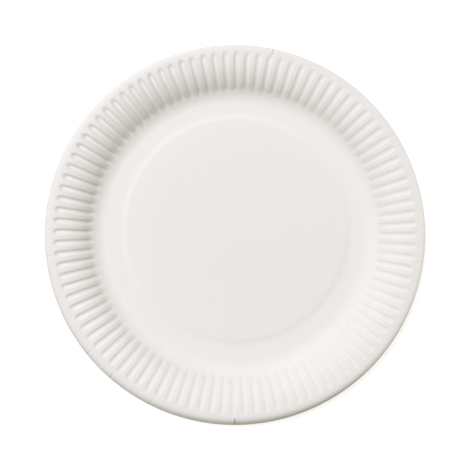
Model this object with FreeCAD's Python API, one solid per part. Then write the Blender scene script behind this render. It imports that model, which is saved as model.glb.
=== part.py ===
import FreeCAD, Part
import math
import os

# Paper plate, 23 cm: one disc of white paperboard, pressed into shape in a single stroke.
# From the middle outwards it has a slightly raised panel, a flat ring that the plate rests on,
# a bend, a brow with a hundred radial flutes pressed into it, and a smooth lip that rolls down.
# Every form shows on both sides, because the sheet has one thickness all over.
# The side and the lip are drawn in narrow facets that lie on the arcs of the plate's section.
# The origin is the middle of the underside, on the surface that the plate rests on. Z is up.
# All sizes are in millimetres and all angles in degrees.

# Sheet
sheet = 0.45

# Ring that the plate rests on, and inside it the raised panel, which was pressed a little off
# the plate's centre
foot_radius = 78.0
ring_width = 7.0
step_width = 5.0
step_height = 0.7
panel_shift_x = 0.8
panel_shift_y = 3.6

# Bend, from the ring out to the steepest part of the plate's side
bend_width = 11.5
steepest_angle = 52.0

# Rim, the lip that rolls down inside it, and the narrow level crest before the lip
rim_radius = 115.0
lip_width = 4.0
lip_angle = 40.0
crest_width = 1.4

# Flutes, the radial valleys in the brow. They start in the bend, inside the steepest part, and
# end in a short ramp at the crest. The wall that comes first, against the clock, is the steeper
# one. Their shares are of the pitch between two flutes, and the first ridge lies at the turn.
flute_count = 100
flute_turn = 1.2
flute_depth = 1.3
flute_lead = 3.5
flute_ramp = 1.6
ridge_share = 0.30
steep_wall_share = 0.20
easy_wall_share = 0.28

# How many facets stand for each arc of the section
bend_facets = 3
brow_facets = 3
lip_facets = 3

CENTRE = FreeCAD.Vector(0, 0, 0)
UP = FreeCAD.Vector(0, 0, 1)


def sine(angle):
    return math.sin(math.radians(angle))


def cosine(angle):
    return math.cos(math.radians(angle))


def slope_after(reach, arc):
    """The slope of an arc at a level distance from its lowest or highest point."""
    return math.degrees(math.asin(reach / arc))


# Sizes that follow from those above, with the arcs of the section on the eating side
step_foot_radius = foot_radius - ring_width
panel_radius = step_foot_radius - step_width
steep_radius = foot_radius + bend_width
crest_radius = rim_radius - lip_width
brow_radius = crest_radius - crest_width
bend_arc = bend_width / sine(steepest_angle)
bend_centre = sheet + bend_arc
brow_arc = (brow_radius - steep_radius) / sine(steepest_angle)
brow_centre = bend_centre - (bend_arc + brow_arc) * cosine(steepest_angle)
crest_height = brow_centre + brow_arc
lip_arc = lip_width / sine(lip_angle)
lip_centre = crest_height - lip_arc
pitch = 360.0 / flute_count
floor_end_radius = brow_radius - flute_ramp
start_slope = slope_after(bend_width - flute_lead, bend_arc)
end_slope = slope_after(flute_ramp, brow_arc)


def spot(radius, height, azimuth=0.0):
    """A point at a radius and a height, in a direction about the plate's axis."""
    return FreeCAD.Vector(radius * cosine(azimuth), radius * sine(azimuth), height)


def bend_spot(slope, below):
    """Radius and height where the bend has a slope, at a depth below the eating side."""
    arc = bend_arc + below
    return foot_radius + arc * sine(slope), bend_centre - arc * cosine(slope)


def brow_spot(slope, below):
    """The same for the brow, which is hollow on the underside."""
    arc = brow_arc - below
    return brow_radius - arc * sine(slope), brow_centre + arc * cosine(slope)


def lip_spot(slope, below):
    """The same for the lip."""
    arc = lip_arc - below
    return crest_radius + arc * sine(slope), lip_centre + arc * cosine(slope)


def even_steps(first, last, count):
    return [first + (last - first) * number / count for number in range(count + 1)]


def facet(*corners):
    return Part.Face(Part.makePolygon(corners + corners[:1]))


def bend_facets_of(below):
    """The bend under one ridge, flat across from the middle of one flute to the next."""
    rows = []
    for slope in even_steps(0.0, start_slope, bend_facets):
        rows.append([spot(*bend_spot(slope, below), side * pitch / 2) for side in (-1, 1)])
    return [facet(low[0], low[1], high[1], high[0]) for low, high in zip(rows, rows[1:])]


def wall_turns(share, below):
    """Where a wall beside a ridge begins and ends, in degrees from the middle of the ridge.
    The walls lean, so on the underside they stand nearer to the middle of the ridge."""
    wall = share * pitch
    middle = (steep_radius + floor_end_radius) / 2
    lean = math.atan(flute_depth / (math.radians(wall) * middle))
    nearer = below * math.tan(lean / 2) / middle
    start = ridge_share * pitch / 2 - math.degrees(nearer)
    return start, start + wall


def fluted_facets_of(below):
    """One ridge and the flute beside it: ridge, wall, flute floor, wall.
    The flute deepens in proportion to its radius, which keeps its walls flat. It starts at a
    point in the bend, and at the crest its floor rises steeply to a point again."""
    steep_start, steep_end = wall_turns(steep_wall_share, below)
    easy_start, easy_end = wall_turns(easy_wall_share, below)
    top, floor = 0, 1
    columns = (
        (-easy_start, top),
        (steep_start, top),
        (steep_end, floor),
        (pitch - easy_end, floor),
        (pitch - easy_start, top),
    )
    rows = []
    for slope in even_steps(steepest_angle, end_slope, brow_facets):
        radius, height = brow_spot(slope, below)
        depth = flute_depth * radius / floor_end_radius
        rows.append([spot(radius, height - depth * sunk, turn) for turn, sunk in columns])
    faces = []
    for inner, outer in zip(rows, rows[1:]):
        for side in range(4):
            faces.append(facet(inner[side], inner[side + 1], outer[side + 1], outer[side]))
    for end, row in ((bend_spot(start_slope, below), rows[0]), (brow_spot(0.0, below), rows[-1])):
        before = spot(*end, -pitch / 2)
        tip = spot(*end, pitch / 2)
        faces += [facet(before, tip, row[1]), facet(before, row[1], row[0])]
        for side in range(1, 4):
            faces.append(facet(row[side], row[side + 1], tip))
    return faces


def ring_of_corners(radius, height):
    """The closed outline where the facets of the side meet a level face."""
    turns = [flute_turn + pitch * (number - 0.5) for number in range(flute_count + 1)]
    return Part.makePolygon([spot(radius, height, turn) for turn in turns])


def circle(radius, height, centre=CENTRE):
    return Part.Wire(Part.makeCircle(radius, centre + spot(0, height)))


def level_face(*outlines):
    return Part.makeFace(list(outlines), "Part::FaceMakerBullseye").Faces


def spun(section, centre=CENTRE):
    """The surface that a section sweeps in a full turn about a vertical axis."""
    return section.revolve(centre, UP, 360).Faces


def middle_of(below):
    """The raised panel, its sloping step and the level ring, on one side of the sheet."""
    low = sheet - below
    high = low + step_height
    centre = FreeCAD.Vector(panel_shift_x, panel_shift_y, 0)
    step = Part.makeLine(centre + spot(panel_radius, high), centre + spot(step_foot_radius, low))
    faces = level_face(circle(panel_radius, high, centre))
    faces += spun(step, centre)
    faces += level_face(ring_of_corners(foot_radius, low), circle(step_foot_radius, low, centre))
    return faces


def rim_of(below):
    """The level crest and the lip that rolls down from it, on one side of the sheet."""
    height = crest_height - below
    faces = level_face(circle(crest_radius, height), ring_of_corners(brow_radius, height))
    roll = [spot(*lip_spot(slope, below)) for slope in even_steps(0.0, lip_angle, lip_facets)]
    return faces + spun(Part.makePolygon(roll))


def turned(shape, angle):
    copy = shape.copy()
    copy.rotate(CENTRE, UP, angle)
    return copy


def plate_skin():
    """All faces of the plate: its two sides and the cut edge that joins them at the rim."""
    faces = []
    flute = []
    for below in (0.0, sheet):
        faces += middle_of(below) + rim_of(below)
        flute += bend_facets_of(below) + fluted_facets_of(below)
    faces += spun(Part.makeLine(*[spot(*lip_spot(lip_angle, below)) for below in (0.0, sheet)]))
    flute = Part.makeCompound(flute)
    for number in range(flute_count):
        faces += turned(flute, flute_turn + pitch * number).Faces
    return faces


skin = Part.makeCompound(plate_skin())
skin.sewShape()
plate = Part.Solid(skin.Shells[0])
if plate.Volume < 0:
    plate.reverse()
print("shells", len(skin.Shells), "valid", plate.isValid(), "volume", round(plate.Volume, 1))

os.makedirs("parts", exist_ok=True)
plate.exportStep("parts/plate.step")
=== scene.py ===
import bpy
import math
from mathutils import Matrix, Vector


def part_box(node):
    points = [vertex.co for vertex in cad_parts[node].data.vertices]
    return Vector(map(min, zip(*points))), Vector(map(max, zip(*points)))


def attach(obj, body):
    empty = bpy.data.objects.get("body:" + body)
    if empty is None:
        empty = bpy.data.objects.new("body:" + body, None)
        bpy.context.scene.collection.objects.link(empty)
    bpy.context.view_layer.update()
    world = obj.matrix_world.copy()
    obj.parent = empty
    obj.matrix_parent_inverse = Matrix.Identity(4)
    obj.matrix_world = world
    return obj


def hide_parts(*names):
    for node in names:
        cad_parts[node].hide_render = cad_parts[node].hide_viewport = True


# A pressed paper plate, seen from straight above on a white table.
# The plate is made as it is in life: one section of the sheet is spun into a plain dish, the lip
# is rolled, the flutes are pressed into the brow, and the rim is cut round, a little off the
# press's centre.
# Lengths are in metres and angles in degrees, unless a comment says otherwise. A turn about the
# plate's axis is counted from the right against the clock. Seen from above, X is to the right
# and Y to the top. A lean is a vector that points to where the thing is widest or deepest.

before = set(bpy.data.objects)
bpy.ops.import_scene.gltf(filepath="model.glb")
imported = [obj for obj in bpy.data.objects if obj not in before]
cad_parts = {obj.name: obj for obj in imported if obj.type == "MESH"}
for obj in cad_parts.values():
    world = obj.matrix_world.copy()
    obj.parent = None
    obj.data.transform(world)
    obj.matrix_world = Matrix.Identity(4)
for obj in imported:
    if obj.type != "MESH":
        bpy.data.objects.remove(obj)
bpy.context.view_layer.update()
mm = 0.001

# The sheet, and the cut rim, which is the CAD's
sheet = 0.45 * mm
rim_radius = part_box("plate")[1].x

# The level ring that the plate rests on, and the raised panel inside it
foot_radius = 79.0 * mm
ring_width = 8.0 * mm
step_width = 5.0 * mm
step_height = 0.8 * mm

# The bend, out to the steepest part of the side, and the brow above it
bend_width = 9.8 * mm
steepest_angle = 53.4
brow_radius = 109.6 * mm

# The level crest, which is uneven in width, and the lip: an arc down to its steepest slope, then
# straight on to the cut edge
crest_width = 2.2 * mm
crest_lean = (0.72 * mm, 0.08 * mm)
crest_oval = 0.65 * mm
crest_oval_turn = 14.0
lip_arc = 3.9 * mm
lip_steepest = 62.0

# Where the press stood from the middle of the cut rim, and the panel's own tool from the same
form_shift = (0.25 * mm, 0.95 * mm)
panel_shift = (0.8 * mm, 3.6 * mm)

# The flutes, which are round hollows. The first ridge lies at the turn, and a hollow's steep and
# easy walls each take a share of the pitch. The leans and ovals of the depth are shares of it.
flute_count = 100
flute_turn = 1.3
steep_share = 0.28
easy_share = 0.32
flute_depth = 1.1 * mm
depth_lean = (-0.42, 0.26)
depth_oval = 0.32
depth_oval_turn = -24.0
least_depth_share = 0.9
most_depth_share = 1.06
depth_seed = 7

# Radii where the flutes start to show, are at their full depth, and end at the crest, and how
# far from that end their floor starts to rise
fade_start = 85.3 * mm
fade_end = 90.5 * mm
flute_end = 109.9 * mm
end_wall = 3.8 * mm

# Pleats are small radial creases across the lip, where the board gathered: the turn where each
# lies, and how deep it is beside the others. One bulges up instead.
pleats = (
    (-90.2, -2.4), (78.1, 1.4), (-173.5, 0.6), (-116.5, 0.6), (-123.2, 0.4), (-131.0, 0.7),
    (-141.0, 0.6), (-148.0, 0.3), (-8.4, 0.5), (126.0, 0.6), (-74.0, 0.5), (32.2, 0.4),
    (178.5, 0.4), (161.0, 0.3), (103.8, 0.3),
)
pleat_width = 0.6 * mm
pleat_depth = 0.3 * mm
pleat_start = 109.3 * mm
pleat_full = 111.5 * mm

# The board's surface: the size of its fibres, cockles and clouds of tone, how finely each is
# broken up, and how high the fibres and cockles stand
fibre_size, fibre_detail = 0.9 * mm, 4.0
cockle_size, cockle_detail = 7 * mm, 2.0
cloud_size, cloud_detail = 45 * mm, 3.0
fine_grain_share = 0.6
fibre_height = 0.02 * mm
cockle_height = 0.05 * mm
plain_board = (0.825, 0.795, 0.78, 1.0)
pale_board = (0.845, 0.815, 0.80, 1.0)
board_roughness = 0.85
board_shine = 0.25

# Where the section has its corners. Marks are shares of the panel's radius, the lip's length and
# the cut edge's height, and the rows of the bend, the brow and the flutes' ramp are even steps
# of slope. Round the plate, the corners are even too.
panel_marks = (0.0, 0.35, 0.7)
step_rows = 5
bend_rows = 8
brow_rows = 11
brow_end_slope = 7
ramp_start_slope = 5.5
ramp_rows = 6
lip_marks = (0.0, 0.15, 0.3, 0.45, 0.6, 0.7, 0.8, 0.9, 0.985)
edge_marks = (0.0, 0.1, 0.5, 0.9, 1.0)
corners_per_flute = 10
rail_radius = 1.0
weld_distance = 0.002 * mm

# The view. The rim's radius and centre in the photograph are in pixels, at the rim's height.
image_width = 470
rim_in_image = 190.2
rim_centre_in_image = (234.67, 234.99)
rim_height = 12.5 * mm
camera_height = 1.5
camera_reach = 10.0
film_width_in_mm = 36.0

# The table lies a hair under the plate, so that no two faces lie in one plane
table_half_width = 3.0
table_drop = 0.05 * mm
table_grey = (0.8, 0.8, 0.8, 1.0)
table_glow = 0.79
white = (1.0, 1.0, 1.0, 1.0)

# The light. The dim room is yellower than the lamp, which makes the shadows khaki.
room_light = 0.175
room_tint = (1.0, 1.0, 0.48, 1.0)
lamp_tint = (1.0, 0.996, 1.092)
lamp_azimuth = 130.0
lamp_elevation = 66.0
lamp_distance = 3.0
lamp_width = 1.4
lamp_power = 84.0


def sine(angle):
    return math.sin(math.radians(angle))


def cosine(angle):
    return math.cos(math.radians(angle))


# Sizes that follow from those above, with the arcs of the section on the eating side
step_foot_radius = foot_radius - ring_width
panel_radius = step_foot_radius - step_width
steep_radius = foot_radius + bend_width
bend_arc = bend_width / sine(steepest_angle)
bend_centre = sheet + bend_arc
brow_arc = (brow_radius - steep_radius) / sine(steepest_angle)
brow_centre = bend_centre - (bend_arc + brow_arc) * cosine(steepest_angle)
crest_height = brow_centre + brow_arc
lip_centre = crest_height - lip_arc


class Value:
    """A socket that carries a number. Arithmetic on it adds the Math nodes."""

    def __init__(self, maker, socket):
        self.maker = maker
        self.socket = socket

    def math(self, operation, *others):
        return self.maker.add("ShaderNodeMath", {"operation": operation}, [self, *others])

    def __add__(self, other):
        return self.math("ADD", other)

    def __sub__(self, other):
        return self.math("SUBTRACT", other)

    def __mul__(self, other):
        return self.math("MULTIPLY", other)

    def __truediv__(self, other):
        return self.math("DIVIDE", other)

    def __pow__(self, other):
        return self.math("POWER", other)

    def __neg__(self):
        return self.math("MULTIPLY", -1.0)

    __radd__ = __add__
    __rmul__ = __mul__

    def __rsub__(self, other):
        return self.maker.add("ShaderNodeMath", {"operation": "SUBTRACT"}, [other, self])

    def __gt__(self, other):
        return self.math("GREATER_THAN", other)

    def rise(self, start, end):
        """0 below start, 1 above end, and a soft step between."""
        settings = {"interpolation_type": "SMOOTHSTEP"}
        values = {"Value": self, "From Min": start, "From Max": end}
        return self.maker.add("ShaderNodeMapRange", settings, values)


class Maker:
    """Adds nodes to one tree."""

    def __init__(self, tree):
        self.tree = tree

    def add(self, kind, settings=None, values=None, out=0):
        """One node with its settings and the values or links of its sockets, and its output."""
        node = self.tree.nodes.new(kind)
        for name, value in (settings or {}).items():
            setattr(node, name, value)
        if isinstance(values, dict):
            pairs = [(node.inputs[name], value) for name, value in values.items()]
        else:
            pairs = list(zip(node.inputs, values or []))
        for socket, value in pairs:
            if isinstance(value, Value):
                self.tree.links.new(value.socket, socket)
            else:
                socket.default_value = value
        return Value(self, node.outputs[out])

    def output(self, value, name):
        """Another output of a node that was added before."""
        return Value(self, value.socket.node.outputs[name])

    def length(self, x, y):
        return (x * x + y * y).math("SQRT")

    def parts(self, vector):
        """The X, Y and Z of a vector."""
        first = self.add("ShaderNodeSeparateXYZ", None, [vector])
        return [Value(self, socket) for socket in first.socket.node.outputs]

    def joined(self, x, y, z):
        return self.add("ShaderNodeCombineXYZ", None, [x, y, z])

    def seen(self):
        """1 where the camera looks, straight or by a reflection, and 0 for light on its way."""
        path = self.add("ShaderNodeLightPath")
        straight = self.output(path, "Is Camera Ray")
        mirrored = self.output(path, "Is Glossy Ray")
        through = self.output(path, "Is Transmission Ray")
        return straight.math("MAXIMUM", mirrored).math("MAXIMUM", through)


class PressMaker(Maker):
    """Adds the nodes that turn the section into a plate. Its sizes are the tree's inputs."""

    def __init__(self, tree):
        super().__init__(tree)
        given = tree.nodes.new("NodeGroupInput")
        self.size = {socket.name: Value(self, socket) for socket in given.outputs if socket.name}

    def place(self):
        """The X, Y and Z of each corner."""
        return self.parts(self.add("GeometryNodeInputPosition"))

    def mark(self, name):
        """A number that the section's corners carry."""
        settings = {"data_type": "FLOAT"}
        return self.add("GeometryNodeInputNamedAttribute", settings, {"Name": name})

    def around(self, radius, turn, height):
        return self.joined(radius * turn.math("COSINE"), radius * turn.math("SINE"), height)

    def moved(self, dish, **values):
        values = {"Geometry": dish, **values}
        return self.add("GeometryNodeSetPosition", None, values)

    def facing(self, lean, turn):
        """How far a lean reaches in the direction of a turn."""
        lean_x, lean_y, _ = self.parts(self.size[lean])
        return lean_x * turn.math("COSINE") + lean_y * turn.math("SINE")

    def oval(self, name, turn):
        """An oval's swell: most at the oval's turn and opposite, least a quarter turn on."""
        from_axis = turn - self.size[name + " turn"]
        return self.size[name] * (from_axis * 2.0).math("COSINE")

    def spun_dish(self):
        """The section spun about the axis. The rail that it follows is wider than the plate, so
        that no part of the section crosses the axis on the way, and comes off again."""
        profile = self.add("GeometryNodeMeshToCurve", None, {"Mesh": self.size["Section"]})
        corners = self.size["Flutes"] * corners_per_flute
        ring = {"Resolution": corners, "Radius": rail_radius}
        rail = self.add("GeometryNodeCurvePrimitiveCircle", None, ring)
        ends = {"Curve": rail, "Profile Curve": profile}
        dish = self.add("GeometryNodeCurveToMesh", None, ends)
        x, y, z = self.place()
        radius = self.length(x, y) - rail_radius
        turn = y.math("ARCTAN2", x) + self.size["Flute turn"]
        return self.moved(dish, Position=self.around(radius, turn, z))

    def rolled_lip(self, dish):
        """The lip rolled down as far as the round cut lets it reach on each side."""
        size = self.size
        x, y, _ = self.place()
        turn = y.math("ARCTAN2", x)
        shift_x, shift_y, _ = self.parts(size["Form shift"])
        ahead = shift_x * turn.math("COSINE") + shift_y * turn.math("SINE")
        across = shift_x * turn.math("SINE") - shift_y * turn.math("COSINE")
        rim = (size["Rim radius"] ** 2.0 - across ** 2.0).math("SQRT") - ahead
        crest = size["Crest width"] + self.facing("Crest lean", turn)
        crest = crest + self.oval("Crest oval", turn)
        width = rim - size["Brow radius"] - crest
        arc = size["Lip arc"]
        steepest = (width / arc).math("MINIMUM", size["Lip steepest"]).math("ARCSINE")
        rolled = arc * steepest
        skirt = (width - arc * steepest.math("SINE")) / steepest.math("COSINE")

        along = self.mark("lip share") * (crest + rolled + skirt)
        roll = ((along - crest) / arc).math("MAXIMUM", 0.0).math("MINIMUM", steepest)
        beyond = (along - crest - rolled).math("MAXIMUM", 0.0)
        own_arc = self.mark("lip arc")
        reach = along.math("MINIMUM", crest)
        reach = reach + own_arc * roll.math("SINE") + beyond * roll.math("COSINE")
        height = size["Lip centre"] + own_arc * roll.math("COSINE") - beyond * roll.math("SINE")
        spot = self.around(size["Brow radius"] + reach, turn, height)
        return self.moved(dish, Selection=self.mark("lip share") > 0.0, Position=spot)

    def pressed_flutes(self, dish):
        """The flutes pressed in. Each is a round hollow between two ridges, with a round outer
        end, and fades out in the bend."""
        size = self.size
        x, y, _ = self.place()
        radius = self.length(x, y)
        turn = y.math("ARCTAN2", x)
        count = (turn - size["Flute turn"]) * size["Flutes"] / (2 * math.pi)
        number = count.math("FLOOR")
        draw = {
            "Min": least_depth_share,
            "Max": most_depth_share,
            "ID": number,
            "Seed": depth_seed,
        }
        uneven = self.add("FunctionNodeRandomValue", {"data_type": "FLOAT"}, draw, "Value")
        steep = size["Steep share"]
        easy = size["Easy share"]
        sideways = count - number - 0.5 + (easy - steep) / 2.0
        up_side = (-sideways / steep).math("MAXIMUM", sideways / easy)
        up_end = ((radius - size["Flute end"]) / size["End wall"] + 1.0).math("MAXIMUM", 0.0)
        hollow = (1.0 - up_side * up_side - up_end * up_end).math("MAXIMUM", 0.0)
        hollow = hollow * radius.rise(size["Fade start"], size["Fade end"])
        deeper = 1.0 + self.facing("Depth lean", turn)
        deeper = deeper + self.oval("Depth oval", turn)
        sink = size["Flute depth"] * deeper * radius / size["Flute end"] * hollow * uneven
        return self.moved(dish, Offset=self.joined(0.0, 0.0, -sink))

    def set_off_centre(self, dish):
        """The press's marks put where they lie from the middle of the cut rim."""
        x, y, _ = self.place()
        inside = 1.0 - self.length(x, y).rise(self.size["Panel edge"], self.size["Foot radius"])
        shift_x, shift_y, _ = self.parts(self.size["Form shift"])
        panel_x, panel_y, _ = self.parts(self.size["Panel shift"])
        offset = self.joined(shift_x + panel_x * inside, shift_y + panel_y * inside, 0.0)
        return self.moved(dish, Offset=offset)

    def finished(self, dish, material):
        """The plate welded where it closes, shaded smooth and given its board."""
        weld = {"Geometry": dish, "Distance": weld_distance}
        dish = self.add("GeometryNodeMergeByDistance", None, weld)
        dish = self.add("GeometryNodeSetShadeSmooth", None, {"Geometry": dish})
        dish = self.add("GeometryNodeRealizeInstances", None, {"Geometry": dish})
        board = {"Geometry": dish, "Material": material}
        return self.add("GeometryNodeSetMaterial", None, board)


# The section of the sheet

def arc_points(centre, radius, start, end, count, bulge):
    """Points on an arc from one slope to another. The bulge is 1 over its centre, -1 under."""
    points = []
    for number in range(count + 1):
        slope = start + (end - start) * number / count
        reach = radius * sine(slope)
        points.append((centre[0] + reach, centre[1] + bulge * radius * cosine(slope)))
    return points


def soft_step(share):
    return share * share * (3 - 2 * share)


def section_side(below):
    """One side of the sheet from the middle to the crest, as radius and height."""
    low = sheet - below
    points = [(mark * panel_radius, low + step_height) for mark in panel_marks]
    for number in range(step_rows + 1):
        share = number / step_rows
        height = low + step_height * (1 - soft_step(share))
        points.append((panel_radius + step_width * share, height))
    points.append(((step_foot_radius + foot_radius) / 2, low))
    bend_middle = (foot_radius, bend_centre)
    brow_middle = (brow_radius, brow_centre)
    arc = brow_arc - below
    bend = arc_points(bend_middle, bend_arc + below, 0, steepest_angle, bend_rows, -1)
    brow = arc_points(brow_middle, arc, -steepest_angle, -brow_end_slope, brow_rows, 1)
    ramp = arc_points(brow_middle, arc, -ramp_start_slope, 0, ramp_rows, 1)
    return points + bend + brow[1:] + ramp


def plate_section():
    """The whole section, from the middle of the eating side over the rim to the middle of the
    underside, with each point's share of the lip and the arc that it lies on there."""
    points = []
    for radius, height in section_side(0.0):
        points.append((radius, height, 0.0, lip_arc))
    lip = [(share, 0.0) for share in lip_marks]
    lip += [(1.0, depth * sheet) for depth in edge_marks]
    lip += [(share, sheet) for share in reversed(lip_marks)]
    for share, below in lip:
        points.append((brow_radius, crest_height - below, share, lip_arc - below))
    for radius, height in reversed(section_side(sheet)):
        points.append((radius, height, 0.0, lip_arc - sheet))
    return points


def section_object():
    """The section as a mesh of edges, drawn in the plane that Curve to Mesh sweeps."""
    points = plate_section()
    mesh = bpy.data.meshes.new("plate section")
    edges = [(number, number + 1) for number in range(len(points) - 1)]
    mesh.from_pydata([(radius, -height, 0) for radius, height, _, _ in points], edges, [])
    for name, column in (("lip share", 2), ("lip arc", 3)):
        layer = mesh.attributes.new(name, "FLOAT", "POINT")
        layer.data.foreach_set("value", [point[column] for point in points])
    thing = bpy.data.objects.new("plate_sheet", mesh)
    bpy.context.scene.collection.objects.link(thing)
    return thing


# Pressing the plate

def pressing_sizes():
    """The tree's inputs, with turns in radians and the lip's steepest slope as its sine."""
    panel_from_form = (panel_shift[0] - form_shift[0], panel_shift[1] - form_shift[1], 0.0)
    return {
        "Flutes": flute_count,
        "Flute depth": flute_depth,
        "Depth lean": (*depth_lean, 0.0),
        "Depth oval": depth_oval,
        "Depth oval turn": math.radians(depth_oval_turn),
        "Flute turn": math.radians(flute_turn),
        "Fade start": fade_start,
        "Fade end": fade_end,
        "Flute end": flute_end,
        "End wall": end_wall,
        "Steep share": steep_share,
        "Easy share": easy_share,
        "Rim radius": rim_radius,
        "Brow radius": brow_radius,
        "Crest width": crest_width,
        "Crest lean": (*crest_lean, 0.0),
        "Crest oval": crest_oval,
        "Crest oval turn": math.radians(crest_oval_turn),
        "Lip arc": lip_arc,
        "Lip steepest": sine(lip_steepest),
        "Lip centre": lip_centre,
        "Panel edge": step_foot_radius,
        "Foot radius": foot_radius,
        "Form shift": (*form_shift, 0.0),
        "Panel shift": panel_from_form,
    }


def pressing_tree(sizes, material):
    """The tree that spins the section, rolls the lip and presses the flutes."""
    tree = bpy.data.node_groups.new("press plate", "GeometryNodeTree")
    tree.interface.new_socket("Section", in_out="INPUT", socket_type="NodeSocketGeometry")
    tree.interface.new_socket("Plate", in_out="OUTPUT", socket_type="NodeSocketGeometry")
    kinds = {int: "NodeSocketInt", float: "NodeSocketFloat", tuple: "NodeSocketVector"}
    for name, size in sizes.items():
        tree.interface.new_socket(name, in_out="INPUT", socket_type=kinds[type(size)])
    maker = PressMaker(tree)
    dish = maker.spun_dish()
    dish = maker.rolled_lip(dish)
    dish = maker.pressed_flutes(dish)
    dish = maker.set_off_centre(dish)
    dish = maker.finished(dish, material)
    output = tree.nodes.new("NodeGroupOutput")
    tree.links.new(dish.socket, output.inputs["Plate"])
    return tree


def pressed_plate(material):
    """The plate as a plain mesh, with the tree's work done."""
    plate = section_object()
    sizes = pressing_sizes()
    tree = pressing_tree(sizes, material)
    press = plate.modifiers.new("press", "NODES")
    press.node_group = tree
    for socket in tree.interface.items_tree:
        if socket.in_out == "INPUT" and socket.name in sizes:
            press[socket.identifier] = sizes[socket.name]
    bpy.context.view_layer.update()
    graph = bpy.context.evaluated_depsgraph_get()
    mesh = bpy.data.meshes.new_from_object(plate.evaluated_get(graph))
    plate.modifiers.remove(press)
    plate.data = mesh
    for name in ("lip share", "lip arc"):
        mesh.attributes.remove(mesh.attributes[name])
    return plate


# Surfaces

def emptied(owner):
    """The node tree of a material or world, with nothing in it."""
    owner.use_nodes = True
    owner.node_tree.nodes.clear()
    return owner.node_tree


def paperboard():
    """White uncoated board: matt, faintly mottled, with a fine felt of fibres."""
    material = bpy.data.materials.new("white paperboard")
    tree = emptied(material)
    maker = Maker(tree)
    place = maker.add("ShaderNodeTexCoord", None, None, "Object")
    x, y, _ = maker.parts(place)

    def grain(size, detail):
        values = {
            "Vector": place,
            "Scale": 1 / size,
            "Detail": detail,
            "Roughness": fine_grain_share,
        }
        return maker.add("ShaderNodeTexNoise", {"noise_dimensions": "3D"}, values)

    cloud = grain(cloud_size, cloud_detail)
    fibres = grain(fibre_size, fibre_detail)
    cockles = grain(cockle_size, cockle_detail)
    height = fibres * fibre_height + cockles * cockle_height
    for azimuth, depth in pleats:
        sideways = y * cosine(azimuth) - x * sine(azimuth)
        outward = x * cosine(azimuth) + y * sine(azimuth)
        groove = (-((sideways / pleat_width) ** 2.0)).math("EXPONENT")
        height = height - groove * outward.rise(pleat_start, pleat_full) * (depth * pleat_depth)
    bump = maker.add("ShaderNodeBump", None, {"Height": height, "Distance": 1.0})
    # For colours, a Mix node has its factor at socket 0, A and B at 6 and 7, and its result at 2
    shades = {0: cloud, 6: pale_board, 7: plain_board}
    tone = maker.add("ShaderNodeMix", {"data_type": "RGBA"}, shades, 2)
    surface = {
        "Base Color": tone,
        "Roughness": board_roughness,
        "Normal": bump,
        "Specular IOR Level": board_shine,
    }
    paper = maker.add("ShaderNodeBsdfPrincipled", None, surface)
    output = tree.nodes.new("ShaderNodeOutputMaterial")
    tree.links.new(paper.socket, output.inputs["Surface"])
    return material


def white_table():
    """A pale table that the camera sees as white, with the plate's shadow on it."""
    material = bpy.data.materials.new("white table")
    tree = emptied(material)
    maker = Maker(tree)
    bare = maker.add("ShaderNodeBsdfDiffuse", None, {"Color": table_grey})
    glow = maker.add("ShaderNodeEmission", None, {"Color": white, "Strength": table_glow})
    both = maker.add("ShaderNodeAddShader", None, [bare, glow])
    mixed = maker.add("ShaderNodeMixShader", None, [maker.seen(), bare, both])
    output = tree.nodes.new("ShaderNodeOutputMaterial")
    tree.links.new(mixed.socket, output.inputs["Surface"])

    mesh = bpy.data.meshes.new("table top")
    half = table_half_width
    corners = [(-half, -half, 0), (half, -half, 0), (half, half, 0), (-half, half, 0)]
    mesh.from_pydata(corners, [], [(0, 1, 2, 3)])
    mesh.materials.append(material)
    table = bpy.data.objects.new("table_top", mesh)
    table.location.z = -table_drop
    bpy.context.scene.collection.objects.link(table)


# Light and view

def white_room():
    """An even dim room all round, and pure white wherever the camera sees past the table."""
    world = bpy.data.worlds.new("white room")
    bpy.context.scene.world = world
    tree = emptied(world)
    maker = Maker(tree)
    dim = {"Color": room_tint, "Strength": room_light}
    walls = maker.add("ShaderNodeBackground", None, dim)
    backdrop = maker.add("ShaderNodeBackground", None, {"Color": white, "Strength": 1.0})
    mixed = maker.add("ShaderNodeMixShader", None, [maker.seen(), walls, backdrop])
    output = tree.nodes.new("ShaderNodeOutputWorld")
    tree.links.new(mixed.socket, output.inputs["Surface"])


def soft_box():
    """A square soft box that looks at the middle of the table from above."""
    lamp = bpy.data.lights.new("soft box", "AREA")
    lamp.shape = "SQUARE"
    lamp.size = lamp_width
    lamp.energy = lamp_power
    lamp.color = lamp_tint
    flat = cosine(lamp_elevation)
    direction = (flat * cosine(lamp_azimuth), flat * sine(lamp_azimuth), sine(lamp_elevation))
    thing = bpy.data.objects.new("soft box", lamp)
    thing.location = [lamp_distance * part for part in direction]
    thing.rotation_mode = "QUATERNION"
    thing.rotation_quaternion = thing.location.to_track_quat("Z", "Y")
    bpy.context.scene.collection.objects.link(thing)


def camera_above():
    """A long lens straight above. The rim is as many pixels wide as in the photograph."""
    width_at_rim = image_width * rim_radius / rim_in_image
    distance = camera_height - rim_height
    camera = bpy.data.cameras.new("camera above")
    camera.sensor_width = film_width_in_mm
    camera.lens = film_width_in_mm * distance / width_at_rim
    camera.clip_end = camera_reach
    thing = bpy.data.objects.new("camera above", camera)
    size_of_pixel = width_at_rim / image_width
    middle = image_width / 2
    thing.location = (
        (middle - rim_centre_in_image[0]) * size_of_pixel,
        (rim_centre_in_image[1] - middle) * size_of_pixel,
        camera_height,
    )
    bpy.context.scene.collection.objects.link(thing)
    bpy.context.scene.camera = thing


bpy.context.scene.view_settings.view_transform = "Standard"
plate = pressed_plate(paperboard())
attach(plate, "root")
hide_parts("plate")
white_table()
white_room()
soft_box()
camera_above()
